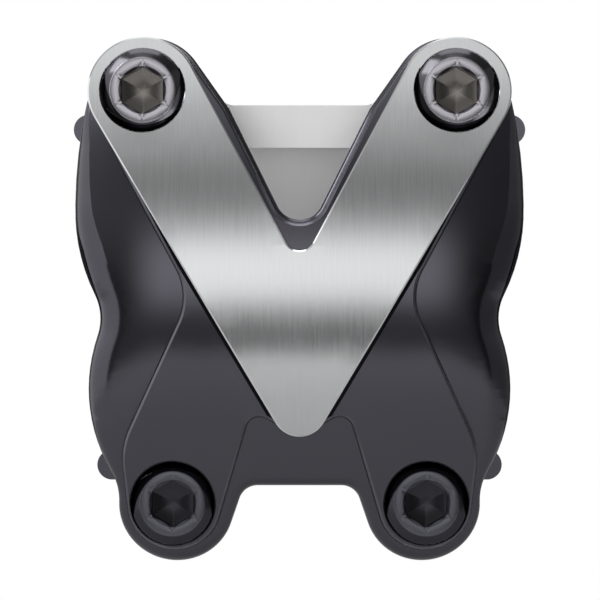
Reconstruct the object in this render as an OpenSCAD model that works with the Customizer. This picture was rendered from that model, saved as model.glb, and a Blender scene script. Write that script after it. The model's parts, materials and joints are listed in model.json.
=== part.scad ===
// Bicycle handlebar stem with a four-bolt, three-layer faceplate.
// X runs along the handlebar, -Y points forwards, +Z is up.
// The origin is on the steerer axis, halfway up the steerer clamp.

/* [Fit] */
// Handlebar diameter at the clamp
bar_d = 31.8; // [25.4:0.1:35]
// Steerer tube diameter
steerer_d = 28.6; // [25.4:0.1:31.8]
// Distance from the steerer axis to the handlebar axis
reach = 50; // [46:1:80]

/* [Steerer clamp] */
// Height of the steerer clamp
clamp_h = 38; // [36:1:44]
// Wall round the steerer
clamp_wall = 3.9; // [3.5:0.1:5]
// Width of the slot between the two ears
slot_w = 2; // [1.5:0.1:3]
// Width across both ears
ears_w = 24.6; // [24:0.2:28]
// Height of each pinch bolt above or below the middle
pinch_z = 11; // [9:0.5:12]
// Material between the steerer bore and a pinch bolt
pinch_wall = 2.5; // [2:0.1:3]

/* [Handlebar clamp] */
// Full width at the upper wings
upper_wing_w = 46.3; // [42:0.1:56]
// Full width at the lower wings
lower_wing_w = 43.4; // [40:0.1:52]
// Wall of the rear half behind the handlebar
rear_wall = 3.5; // [3:0.1:5]
// Gap between the rear half and the faceplate
parting_gap = 1.2; // [0.8:0.1:2]
// Width of the neck at its narrowest
neck_w = 30; // [26:1:34]

/* [Faceplate] */
// Wall of the faceplate in front of the handlebar
face_wall = 2.6; // [2.2:0.1:4]
// Thickness of the black cross plate
cross_t = 1.5; // [1.2:0.1:2.5]
// Thickness of the silver vee plate
vee_t = 1.5; // [1.2:0.1:2.5]
// Radius of the faceplate's front, seen from the side
face_r = 50; // [44:1:70]

/* [Bolts] */
// Thread diameter of every bolt
bolt_d = 5; // [5:0.1:6]
// Length of a faceplate bolt under its head
face_bolt_l = 20; // [18:1:22]
// Length of a pinch bolt under its head
pinch_bolt_l = 18; // [17:1:18]
// Head diameter
head_d = 8.5; // [7.5:0.1:10.2]
// Head height
head_h = 5; // [4:0.1:5]
// Key size across the flats
hex_af = 4; // [3:0.1:5]
// Washer thickness
washer_t = 0.8; // [0.5:0.1:1]
// Distance of each upper bolt in from the side of its wing
upper_bolt_inset = 7.05; // [6.5:0.05:8]
// Distance of each lower bolt in from the side of its wing
lower_bolt_inset = 8.65; // [8:0.05:9.5]

/* [Hidden] */
$fn = 96;
// Angle between the points of an arc
arc_step = 6;

bar_r = bar_d / 2;
steerer_r = steerer_d / 2;
clamp_r = steerer_r + clamp_wall;
barrel_r = bar_r + rear_wall;

// Fits: threads turn freely, and heads and washers drop into their pockets
thread_fit = 0.05;
hole_fit = 0.25;
pocket_fit = 0.1;
washer_fit = 0.15;
seat_gap = 0.05;
head_chamfer = 1;
hex_depth = 2.6;

// Bolt places in the faceplate, as [x, z]
pocket_wall = 0.95;
bolt_z = bar_r + pocket_wall + head_d / 2 + pocket_fit;
upper_bolt = [upper_wing_w / 2 - upper_bolt_inset, bolt_z];
lower_bolt = [lower_wing_w / 2 - lower_bolt_inset, -bolt_z];

// Depth of the faceplate layers in front of the handlebar axis
face_y = bar_r + face_wall;
face_centre = face_r - face_y;
cross_r = face_r + cross_t;
vee_r = cross_r + vee_t;
half_gap = parting_gap / 2;
// Long enough to cut right through
deep = 80;

// Lobes round the faceplate bolts, set a little inwards of the bolts
lobe_wall = 1.68;
lobe_r = head_d / 2 + lobe_wall;
upper_lobe = upper_bolt + [-0.5, -0.2];
lower_lobe = lower_bolt + [-0.35, -0.25];
upper_flank = 145;
lower_flank = 199;
flank_fillet = 2;

// Wings at the sides, with a waist between them
upper_wing_r = 21;
lower_wing_r = 16.5;
lobe_fillet = 6;
wing_drop = 6.4;
wing_z = bar_r - wing_drop;
waist_r = 5.4;
upper_wing = [upper_wing_w / 2 - upper_wing_r, wing_z];
// Above its widest point the upper wing runs smoothly into the lobe
lobe_in = upper_wing_w / 2 - upper_lobe[0];
lobe_up = upper_lobe[1] - wing_z;
wing_top_r = (pow(lobe_in, 2) + pow(lobe_up, 2) - pow(lobe_r, 2)) / (2 * (lobe_in - lobe_r));
wing_top = [upper_wing_w / 2 - wing_top_r, wing_z];
lower_wing = [lower_wing_w / 2 - lower_wing_r, -wing_z];

// Corners of the rear half, beside the wings, and its raised upper web
corner_r = 1.6;
top_corner_out = 0.85;
low_corner_out = -0.2;
web_rise = 1;

// Sizes of the vee plate
vee_rim = 1.45;
vee_lobe_r = head_d / 2 + vee_rim;
vee_tip_r = 2.9;
vee_tip_rise = 4.5;
vee_tip = [0, vee_tip_rise - bar_r];
vee_notch_r = 1.5;
vee_notch_drop = 9.6;
vee_notch = [0, bar_r - vee_notch_drop];
vee_notch_slope = -edge_normal(vee_notch, vee_notch_r, upper_bolt, -vee_lobe_r, -1);

// Sizes of the cross plate
cross_margin = 0.7;
cross_inset = 0.25;
cross_step = 0.3;
crotch_rise = 3.6;
crotch_drop = bar_r - crotch_rise;
cross_rim = 0.65;
cross_lobe_r = head_d / 2 + cross_rim;
cross_lobe = lower_bolt + [-0.15, -0.1];
shoulder_r = 7.85;
shoulder = lower_bolt + [-2.65, 4.45];
arm_outer = 24.8;
arm_inner = 196.6;
side_crotch_r = 6;
low_crotch_r = 1.35;

// Notch in the top of the faceplate
notch_r = 2.5;
notch_drop = 5.5;
notch_c = [0, bar_r - notch_drop];
notch_slope = 26.6;

// Fronts of the bolt heads, measured forwards from the handlebar axis
upper_head_sink = 1.5;
lower_head_sink = 1.4;
upper_head_y = face_y - upper_head_sink;
lower_head_y = upper_head_y - lower_head_sink;
// Depth of the threads behind the handlebar axis
thread_spare = 2.1;
thread_depth = head_h + face_bolt_l - lower_head_y + thread_spare;

// Neck, with a hollow on each side that runs smoothly into the steerer clamp
hollow_r = 20;
hollow_x = neck_w / 2 + hollow_r;
hollow_y = -sqrt(pow(clamp_r + hollow_r, 2) - pow(hollow_x, 2));
neck_end = hollow_y * clamp_r / (clamp_r + hollow_r);
shoulder_inset = 2.2;
neck_shoulder = lower_wing_w / 2 - shoulder_inset;
neck_setback = 8;
neck_start = neck_setback - reach;

// Scoops across the top and the bottom, behind the bolt lobes
scoop_r = 16;
scoop_setback = 27;
scoop_depth = 2.5;
scoop_y = scoop_setback - reach;
scoop_z = clamp_h / 2 - scoop_depth + scoop_r;
lobe_end = scoop_y - sqrt(pow(scoop_r, 2) - pow(scoop_z - clamp_h / 2, 2));

// Ears and pinch bolts
ear_corner_r = 3;
ear_wall = 0.8;
pinch_pocket_fit = 0.35;
pinch_head_proud = 0.5;
pinch_y = steerer_r + pinch_wall + bolt_d / 2;
pocket_r = head_d / 2 + pinch_pocket_fit;
ear_y = pinch_y + pocket_r + ear_wall;
pinch_seat_x = ears_w / 2 + pinch_head_proud - head_h - washer_t;
ear_corner = [ears_w / 2 - ear_corner_r, ear_y - ear_corner_r];
ear_notch_r = 7.5;
ear_notch_depth = 2.5;

// Point at distance r from c, in the direction a
function polar(c, r, a) = c + r * [cos(a), sin(a)];
// Distance of a line that touches a circle, along its outward normal a
function line_k(c, r, a) = c[0] * cos(a) + c[1] * sin(a) + r;
// Meeting point of two lines, each given by its normal and its distance
function meet(a1, k1, a2, k2) = [
    (k1 * sin(a2) - k2 * sin(a1)) / sin(a2 - a1),
    (k2 * cos(a1) - k1 * cos(a2)) / sin(a2 - a1)
];
// Direction from one point to another
function heading(c1, c2) = atan2(c2[1] - c1[1], c2[0] - c1[0]);
// Normal of the straight edge that touches two circles on the side s
function edge_normal(c1, r1, c2, r2, s) = heading(c1, c2) + s * acos((r1 - r2) / norm(c2 - c1));
// Angle at the corner between sides a and d of a triangle, opposite side b
function corner_angle(a, b, d) = acos((a * a + d * d - b * b) / (2 * a * d));
// Centre of a circle of radius r that touches two others from the side s
function touch_centre(c1, r1, c2, r2, r, s) =
    polar(c1, r1 + r, heading(c1, c2) + s * corner_angle(r1 + r, r2 + r, norm(c2 - c1)));

// Centre of the circle that rounds the inside corner between two straight edges
function corner_centre(a1, k1, a2, k2, r) = meet(a1, k1 + r, a2, k2 + r);
// Angle brought between 0 and 360
function wrap(a) = a - 360 * floor(a / 360);
// Points from p0 round c towards p1, without p1, turning left (1) or right (-1)
function arc(c, p0, p1, turn) = let(
    sweep = turn * wrap(turn * (heading(c, p1) - heading(c, p0))),
    n = max(2, ceil(abs(sweep) / arc_step))
) [for (i = [0:n - 1]) polar(c, norm(p0 - c), heading(c, p0) + sweep * i / n)];
// Closes a right half, given from the bottom up, with its mirror image
function both_halves(half) = concat(
    half, [for (i = [len(half) - 1:-1:0]) if (half[i][0] > 0.001) [-half[i][0], half[i][1]]]
);

// From the lower web round the lower lobe, as far as the point p on its outer side
function lower_lobe_run(p) = let(
    k = line_k(lower_lobe, lobe_r, lower_flank),
    c = corner_centre(lower_flank, k, -90, barrel_r, flank_fillet)
) concat(
    arc(c, [c[0], -barrel_r], polar(c, -flank_fillet, lower_flank), -1),
    [polar(c, -flank_fillet, lower_flank)],
    arc(lower_lobe, polar(lower_lobe, lobe_r, lower_flank), p, 1)
);
// Round the upper lobe from the point p to the top of its inner flank
function upper_lobe_run(p) = concat(
    arc(upper_lobe, p, polar(upper_lobe, lobe_r, upper_flank), 1),
    [polar(upper_lobe, lobe_r, upper_flank)]
);
// Down the inner flank and round the notch to the middle, widened by step
function notch_run(step) = let(
    k = line_k(upper_lobe, lobe_r - step, upper_flank),
    edge = polar(notch_c, notch_r + step, -notch_slope),
    bottom = polar(notch_c, notch_r + step, -90)
) concat([meet(upper_flank, k, 90, barrel_r)], arc(notch_c, edge, bottom, -1), [bottom]);
// Down the inner flank to the flat upper web
function upper_web_run() = let(
    k = line_k(upper_lobe, lobe_r, upper_flank),
    web_z = barrel_r + web_rise,
    c = corner_centre(upper_flank, k, 90, web_z, flank_fillet)
) concat(
    arc(c, polar(c, -flank_fillet, upper_flank), [c[0], web_z], -1),
    [[c[0], web_z]]
);

// Side of the wings from p0 on the lower one to p1 on the upper one, with the waist between
waist = touch_centre(upper_wing, upper_wing_r, lower_wing, lower_wing_r, waist_r, 1);
waist_low = polar(lower_wing, lower_wing_r, heading(lower_wing, waist));
waist_top = polar(upper_wing, upper_wing_r, heading(upper_wing, waist));
function wing_run(p0, p1) = concat(
    arc(lower_wing, p0, waist_low, 1),
    arc(waist, waist_low, waist_top, -1),
    arc(upper_wing, waist_top, [upper_wing_w / 2, wing_z], 1),
    arc(wing_top, [upper_wing_w / 2, wing_z], p1, 1)
);

fillet_c = touch_centre(lower_wing, lower_wing_r, lower_lobe, lobe_r, lobe_fillet, 1);
lobe_side = polar(lower_lobe, lobe_r, heading(lower_lobe, fillet_c));
wing_side = polar(lower_wing, lower_wing_r, heading(lower_wing, fillet_c));
face_top = polar(upper_lobe, lobe_r, heading(wing_top, upper_lobe));
face_outline = both_halves(concat(
    lower_lobe_run(lobe_side), arc(fillet_c, lobe_side, wing_side, -1),
    wing_run(wing_side, face_top), upper_lobe_run(face_top), notch_run(0)
));

// Turned ends of the rear half, with rounded corners that show beside the faceplate
low_corner = [lower_wing_w / 2 + low_corner_out - corner_r, corner_r - barrel_r];
top_corner = [upper_wing_w / 2 + top_corner_out - corner_r, barrel_r - corner_r];
low_meet = touch_centre(low_corner, corner_r, lower_wing, lower_wing_r, 0, -1);
top_meet = touch_centre(top_corner, corner_r, wing_top, wing_top_r, 0, 1);
barrel_outline = both_halves(concat(
    arc(low_corner, [low_corner[0], -barrel_r], low_meet, 1),
    wing_run(low_meet, top_meet),
    arc(top_corner, top_meet, [top_corner[0], barrel_r], 1),
    [[top_corner[0], barrel_r]]
));
core_outline = both_halves(concat(
    lower_lobe_run(lower_lobe + [lobe_r, 0]), [lower_lobe + [lobe_r, 0]],
    upper_lobe_run(upper_lobe + [lobe_r, 0]), upper_web_run()
));

// Outline of the vee plate
vee_a = edge_normal(vee_tip, vee_tip_r, upper_bolt, vee_lobe_r, -1);
vee_edge = polar(vee_notch, vee_notch_r, -vee_notch_slope);
vee_bottom = polar(vee_notch, vee_notch_r, -90);
vee_inner = polar(upper_bolt, vee_lobe_r, 180 - vee_notch_slope);
vee_outline = both_halves(concat(
    arc(vee_tip, polar(vee_tip, vee_tip_r, -90), polar(vee_tip, vee_tip_r, vee_a), 1),
    [polar(vee_tip, vee_tip_r, vee_a)],
    arc(upper_bolt, polar(upper_bolt, vee_lobe_r, vee_a), vee_inner, 1),
    [vee_inner],
    arc(vee_notch, vee_edge, vee_bottom, -1),
    [vee_bottom]
));

// Cross plate: a vee under the silver one, and two arms down to the lower bolts
tip_r = vee_tip_r - cross_inset;
vee_k = line_k(vee_tip, vee_tip_r + cross_margin, vee_a);
outer_k = line_k(shoulder, shoulder_r, arm_outer);
inner_k = line_k(cross_lobe, cross_lobe_r, arm_inner);
low_crotch = corner_centre(arm_inner, inner_k, -90, crotch_drop, low_crotch_r);
tip_slope = edge_normal(low_crotch, low_crotch_r, vee_tip, -tip_r, -1);
tip_side = polar(vee_tip, -tip_r, tip_slope);
side_crotch = corner_centre(arm_outer, outer_k, vee_a, vee_k, side_crotch_r);
side_a = edge_normal(shoulder, shoulder_r, cross_lobe, cross_lobe_r, 1);
pad_meet = touch_centre(upper_bolt, vee_lobe_r, upper_lobe, lobe_r - cross_step, 0, -1);
pad_flank = polar(upper_lobe, lobe_r - cross_step, upper_flank);
cross_outline = both_halves(concat(
    arc(vee_tip, polar(vee_tip, tip_r, -90), tip_side, 1),
    [tip_side],
    arc(low_crotch, polar(low_crotch, low_crotch_r, tip_slope),
        polar(low_crotch, -low_crotch_r, arm_inner), -1),
    [polar(low_crotch, -low_crotch_r, arm_inner)],
    arc(cross_lobe, polar(cross_lobe, cross_lobe_r, arm_inner),
        polar(cross_lobe, cross_lobe_r, side_a), 1),
    [polar(cross_lobe, cross_lobe_r, side_a)],
    arc(shoulder, polar(shoulder, shoulder_r, side_a), polar(shoulder, shoulder_r, arm_outer), 1),
    [polar(shoulder, shoulder_r, arm_outer)],
    arc(side_crotch, polar(side_crotch, -side_crotch_r, arm_outer),
        polar(side_crotch, -side_crotch_r, vee_a), -1),
    [polar(side_crotch, -side_crotch_r, vee_a)],
    arc(upper_bolt, polar(upper_bolt, vee_lobe_r, vee_a), pad_meet, 1),
    arc(upper_lobe, pad_meet, pad_flank, 1),
    [pad_flank],
    notch_run(cross_step)
));

module both_sides() {
    children();
    mirror([1, 0, 0]) children();
}

module top_and_bottom() {
    children();
    mirror([0, 0, 1]) children();
}

// Outline in X and Z, cut from y0 back to y1
module along_y(y0, y1) {
    translate([0, y1, 0]) rotate([90, 0, 0]) linear_extrude(height = y1 - y0) children();
}

// Round bar along X, through [y, z]
module rod_x(r, y, z) {
    translate([0, y, z]) rotate([0, 90, 0]) cylinder(r = r, h = 2 * deep, center = true);
}

// Round pin along Y from y0 back to y1, through p = [x, z]
module pin_y(p, r, y0, y1) {
    translate([p[0], y1, p[1]]) rotate([90, 0, 0]) cylinder(r = r, h = y1 - y0);
}

// Room in front of the gap between the clamp halves, and the seats of the washers
front_y0 = -reach - deep;
front_y1 = -reach - half_gap;
rear_y0 = -reach + half_gap;
upper_seat_y = head_h + washer_t - upper_head_y - reach;
lower_seat_y = head_h + washer_t - lower_head_y - reach;

// Layer of the faceplate between two radii, cut to an outline
module face_layer(r0, r1) {
    intersection() {
        along_y(front_y0, front_y1) children();
        difference() {
            rod_x(r1, face_centre - reach, 0);
            if (r0 > 0) rod_x(r0, face_centre - reach, 0);
        }
    }
}

// Pockets for the four heads and their washers
module head_pockets() {
    both_sides() {
        pin_y(upper_bolt, head_d / 2 + pocket_fit, front_y0, upper_seat_y);
        pin_y(lower_bolt, head_d / 2 + pocket_fit, front_y0, lower_seat_y);
    }
}

module faceplate() {
    color("#26262b") difference() {
        face_layer(0, face_r) polygon(face_outline);
        rod_x(bar_r, -reach, 0);
        head_pockets();
        both_sides() {
            pin_y(upper_bolt, bolt_d / 2 + hole_fit, front_y0, 0);
            pin_y(lower_bolt, bolt_d / 2 + hole_fit, front_y0, 0);
        }
    }
}

module cross_plate() {
    color("#33323a") difference() {
        face_layer(face_r + seat_gap, cross_r) polygon(cross_outline);
        head_pockets();
    }
}

module vee_plate() {
    color("#c6c8cb") difference() {
        face_layer(cross_r + seat_gap, vee_r) polygon(vee_outline);
        head_pockets();
    }
}

// Rear half of the handlebar clamp: a turned barrel with four bolt lobes
module rear_half() {
    intersection() {
        along_y(rear_y0, deep) polygon(barrel_outline);
        rod_x(barrel_r, -reach, 0);
    }
    along_y(rear_y0, lobe_end) polygon(core_outline);
}

module neck() {
    translate([0, 0, -clamp_h / 2]) linear_extrude(height = clamp_h) difference() {
        translate([-neck_shoulder, neck_start]) square([2 * neck_shoulder, neck_end - neck_start]);
        both_sides() translate([hollow_x, hollow_y]) circle(r = hollow_r);
    }
}

module steerer_clamp() {
    translate([0, 0, -clamp_h / 2]) linear_extrude(height = clamp_h) {
        circle(r = clamp_r);
        polygon(both_halves(concat(
            [[ears_w / 2, 0]],
            arc(ear_corner, ear_corner + [ear_corner_r, 0], ear_corner + [0, ear_corner_r], 1),
            [ear_corner + [0, ear_corner_r]]
        )));
    }
}

// Holes of the pinch bolt at height z, with its head on the side s
module pinch_holes(z, s) {
    translate([0, pinch_y, z]) rotate([0, 90 * s, 0]) {
        translate([0, 0, pinch_seat_x]) cylinder(r = pocket_r, h = deep);
        cylinder(r = bolt_d / 2 + hole_fit, h = deep);
        translate([0, 0, -deep]) cylinder(r = bolt_d / 2 + thread_fit, h = deep);
    }
}

module stem_body() {
    color("#1f1e23") difference() {
        union() {
            rear_half();
            neck();
            steerer_clamp();
        }
        top_and_bottom() rod_x(scoop_r, scoop_y, scoop_z);
        rod_x(bar_r, -reach, 0);
        translate([0, 0, -deep]) cylinder(r = steerer_r, h = 2 * deep);
        translate([-slot_w / 2, 0, -deep]) cube([slot_w, deep, 2 * deep]);
        rod_x(ear_notch_r, ear_y + ear_notch_r - ear_notch_depth, 0);
        pinch_holes(pinch_z, -1);
        pinch_holes(-pinch_z, 1);
        both_sides() {
            pin_y(upper_bolt, bolt_d / 2 + thread_fit, -reach, thread_depth - reach);
            pin_y(lower_bolt, bolt_d / 2 + thread_fit, -reach, thread_depth - reach);
        }
    }
}

// Socket-head bolt, head up, with the seat of its head at height 0
module bolt(l) {
    tip = bolt_d / 10;
    difference() {
        union() {
            cylinder(r = head_d / 2, h = head_h - head_chamfer);
            translate([0, 0, head_h - head_chamfer])
                cylinder(r1 = head_d / 2, r2 = head_d / 2 - head_chamfer, h = head_chamfer);
            translate([0, 0, tip - l]) cylinder(r = bolt_d / 2, h = l - tip + head_h / 2);
            translate([0, 0, -l]) cylinder(r1 = bolt_d / 2 - tip, r2 = bolt_d / 2, h = tip);
        }
        translate([0, 0, head_h - hex_depth]) rotate([0, 0, 30])
            cylinder(r = hex_af / 2 / cos(30), h = head_h, $fn = 6);
    }
}

// Washer under the head of that bolt
module washer() {
    translate([0, 0, -washer_t]) difference() {
        cylinder(r = head_d / 2 - washer_fit, h = washer_t);
        translate([0, 0, -washer_t]) cylinder(r = bolt_d / 2 + washer_fit, h = 3 * washer_t);
    }
}

module at_upper(s) {
    translate([s * upper_bolt[0], upper_seat_y - washer_t, upper_bolt[1]]) rotate([90, 0, 0]) children();
}

module at_lower(s) {
    translate([s * lower_bolt[0], lower_seat_y - washer_t, lower_bolt[1]]) rotate([90, 0, 0]) children();
}

module at_pinch(z, s) {
    translate([s * (pinch_seat_x + washer_t), pinch_y, z]) rotate([0, 90 * s, 0]) children();
}

module upper_left_bolt() { color("#a8a7ab") at_upper(-1) bolt(face_bolt_l); }
module upper_right_bolt() { color("#a8a7ab") at_upper(1) bolt(face_bolt_l); }
module lower_left_bolt() { color("#3f3e45") at_lower(-1) bolt(face_bolt_l); }
module lower_right_bolt() { color("#3f3e45") at_lower(1) bolt(face_bolt_l); }
module upper_left_washer() { color("#8d8d90") at_upper(-1) washer(); }
module upper_right_washer() { color("#8d8d90") at_upper(1) washer(); }
module lower_left_washer() { color("#2c2b30") at_lower(-1) washer(); }
module lower_right_washer() { color("#2c2b30") at_lower(1) washer(); }
module upper_pinch_bolt() { color("#3f3e45") at_pinch(pinch_z, -1) bolt(pinch_bolt_l); }
module lower_pinch_bolt() { color("#3f3e45") at_pinch(-pinch_z, 1) bolt(pinch_bolt_l); }
module upper_pinch_washer() { color("#2c2b30") at_pinch(pinch_z, -1) washer(); }
module lower_pinch_washer() { color("#2c2b30") at_pinch(-pinch_z, 1) washer(); }

stem_body();
faceplate();
cross_plate();
vee_plate();
upper_left_bolt();
upper_right_bolt();
lower_left_bolt();
lower_right_bolt();
upper_left_washer();
upper_right_washer();
lower_left_washer();
lower_right_washer();
upper_pinch_bolt();
lower_pinch_bolt();
upper_pinch_washer();
lower_pinch_washer();
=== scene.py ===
import json
import math

import bmesh
import bpy
from mathutils import Matrix, Vector
from mathutils.geometry import delaunay_2d_cdt


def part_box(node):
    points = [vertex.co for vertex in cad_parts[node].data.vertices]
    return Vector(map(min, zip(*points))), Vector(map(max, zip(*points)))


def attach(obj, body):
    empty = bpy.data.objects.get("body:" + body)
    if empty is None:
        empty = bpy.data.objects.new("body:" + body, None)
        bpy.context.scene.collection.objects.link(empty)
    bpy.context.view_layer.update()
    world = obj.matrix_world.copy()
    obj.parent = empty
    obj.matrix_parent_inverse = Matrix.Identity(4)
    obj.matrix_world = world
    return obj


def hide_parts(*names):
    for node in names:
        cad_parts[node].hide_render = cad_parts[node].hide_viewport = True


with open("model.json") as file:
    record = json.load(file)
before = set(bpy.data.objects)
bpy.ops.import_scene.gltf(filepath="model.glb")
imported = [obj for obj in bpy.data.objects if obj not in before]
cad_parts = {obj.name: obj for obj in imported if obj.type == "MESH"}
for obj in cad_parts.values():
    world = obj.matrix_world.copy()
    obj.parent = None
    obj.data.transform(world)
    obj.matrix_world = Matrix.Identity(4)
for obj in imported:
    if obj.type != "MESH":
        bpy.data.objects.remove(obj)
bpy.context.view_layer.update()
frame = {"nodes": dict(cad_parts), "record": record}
record = frame["record"]
mm = 0.001  # outlines are worked out in millimetres, meshes are in metres
print("frame loaded")


def boxOf(node):
    low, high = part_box(node)
    return low / mm, high / mm


def mountOf(name):
    return next(m for m in record["mounts"] if m["name"] == name)


bar = mountOf("handlebar_clamp")
barRadius = bar["dims"]["r_mm"]
barY = bar["pos_m"][1] / mm
boltAt = {
    j["child"]: Vector(j["pos_m"]) / mm for j in record["behaviour"]["joints"] if j["type"] == "hinge"
}
upperBolt = Vector((boltAt["upper_right_bolt"].x, boltAt["upper_right_bolt"].z))
lowerBolt = Vector((boltAt["lower_right_bolt"].x, boltAt["lower_right_bolt"].z))


# Outlines: arcs and straight edges that touch, as (x, z) points in millimetres

arcStep = 4  # degrees between the points of an arc
edgeSpacing = 1.2  # millimetres between the points of a long edge
capSpacing = 1.6  # millimetres between the points across a front


def polar(centre, radius, angle):
    a = math.radians(angle)
    return centre + radius * Vector((math.cos(a), math.sin(a)))


def lineAt(centre, radius, angle):
    a = math.radians(angle)
    return centre.x * math.cos(a) + centre.y * math.sin(a) + radius


def meet(angleA, a, angleB, b):
    p, q = math.radians(angleA), math.radians(angleB)
    turn = math.sin(q - p)
    return Vector(((a * math.sin(q) - b * math.sin(p)) / turn, (b * math.cos(p) - a * math.cos(q)) / turn))


def heading(start, end):
    return math.degrees(math.atan2(end.y - start.y, end.x - start.x))


def edgeNormal(centreA, a, centreB, b, side):
    return heading(centreA, centreB) + side * math.degrees(math.acos((a - b) / (centreB - centreA).length))


def touchCentre(centreA, a, centreB, b, radius, side):
    p, q, gap = a + radius, b + radius, (centreB - centreA).length
    corner = math.degrees(math.acos((p * p + gap * gap - q * q) / (2 * p * gap)))
    return polar(centreA, p, heading(centreA, centreB) + side * corner)


def cornerCentre(angleA, a, angleB, b, radius):
    return meet(angleA, a + radius, angleB, b + radius)


def arc(centre, start, end, turn):
    first = heading(centre, start)
    sweep = turn * ((turn * (heading(centre, end) - first)) % 360)
    count = max(2, math.ceil(abs(sweep) / arcStep))
    radius = (start - centre).length
    return [polar(centre, radius, first + sweep * i / count) for i in range(count)]


def bothHalves(half):
    return half + [Vector((-p.x, p.y)) for p in reversed(half) if p.x > 0.001]


def circle(centre, radius, count=48):
    return [polar(centre, radius, -360 * i / count) for i in range(count)]  # clockwise, as a hole


faceSizes = {
    "lobeRadius": 5.93,
    "upperLobeShift": (-0.5, -0.2),
    "lowerLobeShift": (-0.35, -0.25),
    "upperFlank": 145,  # direction that the lobes' inner sides face
    "lowerFlank": 199,
    "flankFillet": 2,
    "upperWingRadius": 21,
    "lowerWingRadius": 16.5,
    "wingDrop": 6.4,
    "lowerWingWidth": 43.4,
    "waistRadius": 5.4,
    "lobeFillet": 6,
    "notchRadius": 2.5,
    "notchDrop": 5.5,
    "notchSlope": 26.6,
    "webHeight": 19.4,
    "radius": 50,  # the front, seen from the side
    "leanFrom": 13,
    "leanRadius": 34,
    "leanRise": (-22, 0),  # heights between which the lean grows
    "wingStart": (15, 19),  # where the wings' rounding grows, out from the middle
    "slopeStart": (19, 21),
    "edgeSteps": 10,  # round each edge
    "bowSteps": 22,  # strips of the bore, from its middle up and down
    "frontSpacing": 1.0,
    "cutReach": 30,  # half the length of the lines between those strips
    "sharp": 11,  # an edge that turns by more degrees stays sharp
    "partingGap": 1.2,
    "pocketRadius": 4.35,
    "pocketEdge": 0.15,
    "holeRadius": 2.75,
}
veeSizes = {
    "lobeRadius": 5.7,
    "tipRadius": 2.9,
    "tipRise": 4.5,
    "notchRadius": 1.5,
    "notchDrop": 9.6,
    "thickness": 1.5,
    "bevel": 0.15,
    "holeBevel": 0.09,
    "draft": 0.08,  # how far the sides lean in
}
crossSizes = {
    "inset": 0.25,  # of the tip, behind the vee's
    "margin": 0.7,  # of the sides, beside the vee's
    "seam": 0.32,  # width of the very dark strip beside the vee, painted shade along its edge
    "seamPieces": 36,
    "crotchRise": 3.6,
    "step": 0.3,
    "lobeRadius": 4.9,
    "lobeShift": (-0.15, -0.1),
    "shoulderRadius": 7.85,
    "shoulderShift": (-2.65, 4.45),
    "armOuter": 24.8,  # directions that the arms' sides face
    "armInner": 196.6,
    "sideCrotch": 6,
    "lowCrotch": 1.35,
    "thickness": 1.5,
    "bevel": 0.22,
    "holeBevel": 0.132,
    "draft": 0.16,
}
seatGap = 0.05  # keeps the back of each plate off the one behind

upperLobe = upperBolt + Vector(faceSizes["upperLobeShift"])
lowerLobe = lowerBolt + Vector(faceSizes["lowerLobeShift"])
wingZ = barRadius - faceSizes["wingDrop"]
upperWing = Vector((boxOf("faceplate")[1].x - faceSizes["upperWingRadius"], wingZ))
lowerWing = Vector((faceSizes["lowerWingWidth"] / 2 - faceSizes["lowerWingRadius"], -wingZ))
# above its widest point the upper wing runs smoothly into the lobe
wingSide = Vector((boxOf("faceplate")[1].x, wingZ))
toLobe = wingSide - upperLobe
lobeRadius = faceSizes["lobeRadius"]
wingTopRadius = (toLobe.length_squared - lobeRadius**2) / (2 * (toLobe.x - lobeRadius))
wingTop = wingSide - Vector((wingTopRadius, 0))
notchCentre = Vector((0, barRadius - faceSizes["notchDrop"]))


def lowerLobeRun(end):
    side, web, fillet = faceSizes["lowerFlank"], faceSizes["webHeight"], faceSizes["flankFillet"]
    centre = cornerCentre(side, lineAt(lowerLobe, faceSizes["lobeRadius"], side), -90, web, fillet)
    flank = polar(centre, -fillet, side)
    foot = Vector((centre.x, -web))
    start = polar(lowerLobe, faceSizes["lobeRadius"], side)
    return arc(centre, foot, flank, -1) + [flank] + arc(lowerLobe, start, end, 1)


def notchRun(step):
    side, radius = faceSizes["upperFlank"], faceSizes["notchRadius"] + step
    flankLine = lineAt(upperLobe, faceSizes["lobeRadius"] - step, side)
    edge = polar(notchCentre, radius, -faceSizes["notchSlope"])
    bottom = polar(notchCentre, radius, -90)
    start = meet(side, flankLine, 90, faceSizes["webHeight"])
    return [start] + arc(notchCentre, edge, bottom, -1) + [bottom]


def wingRun(start, end):
    upper, lower = faceSizes["upperWingRadius"], faceSizes["lowerWingRadius"]
    waist = touchCentre(upperWing, upper, lowerWing, lower, faceSizes["waistRadius"], 1)
    low = polar(lowerWing, lower, heading(lowerWing, waist))
    top = polar(upperWing, upper, heading(upperWing, waist))
    run = arc(lowerWing, start, low, 1) + arc(waist, low, top, -1) + arc(upperWing, top, wingSide, 1)
    return run + arc(wingTop, wingSide, end, 1)


def faceOutline():
    lobe, wing = faceSizes["lobeRadius"], faceSizes["lowerWingRadius"]
    fillet = touchCentre(lowerWing, wing, lowerLobe, lobe, faceSizes["lobeFillet"], 1)
    low = polar(lowerLobe, lobe, heading(lowerLobe, fillet))
    side = polar(lowerWing, wing, heading(lowerWing, fillet))
    top = polar(upperLobe, lobe, heading(wingTop, upperLobe))
    flank = polar(upperLobe, lobe, faceSizes["upperFlank"])
    lobes = arc(upperLobe, top, flank, 1) + [flank]
    return bothHalves(
        lowerLobeRun(low) + arc(fillet, low, side, -1) + wingRun(side, top) + lobes + notchRun(0)
    )


veeTip = Vector((0, veeSizes["tipRise"] - barRadius))
veeSide = edgeNormal(veeTip, veeSizes["tipRadius"], upperBolt, veeSizes["lobeRadius"], -1)


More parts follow.
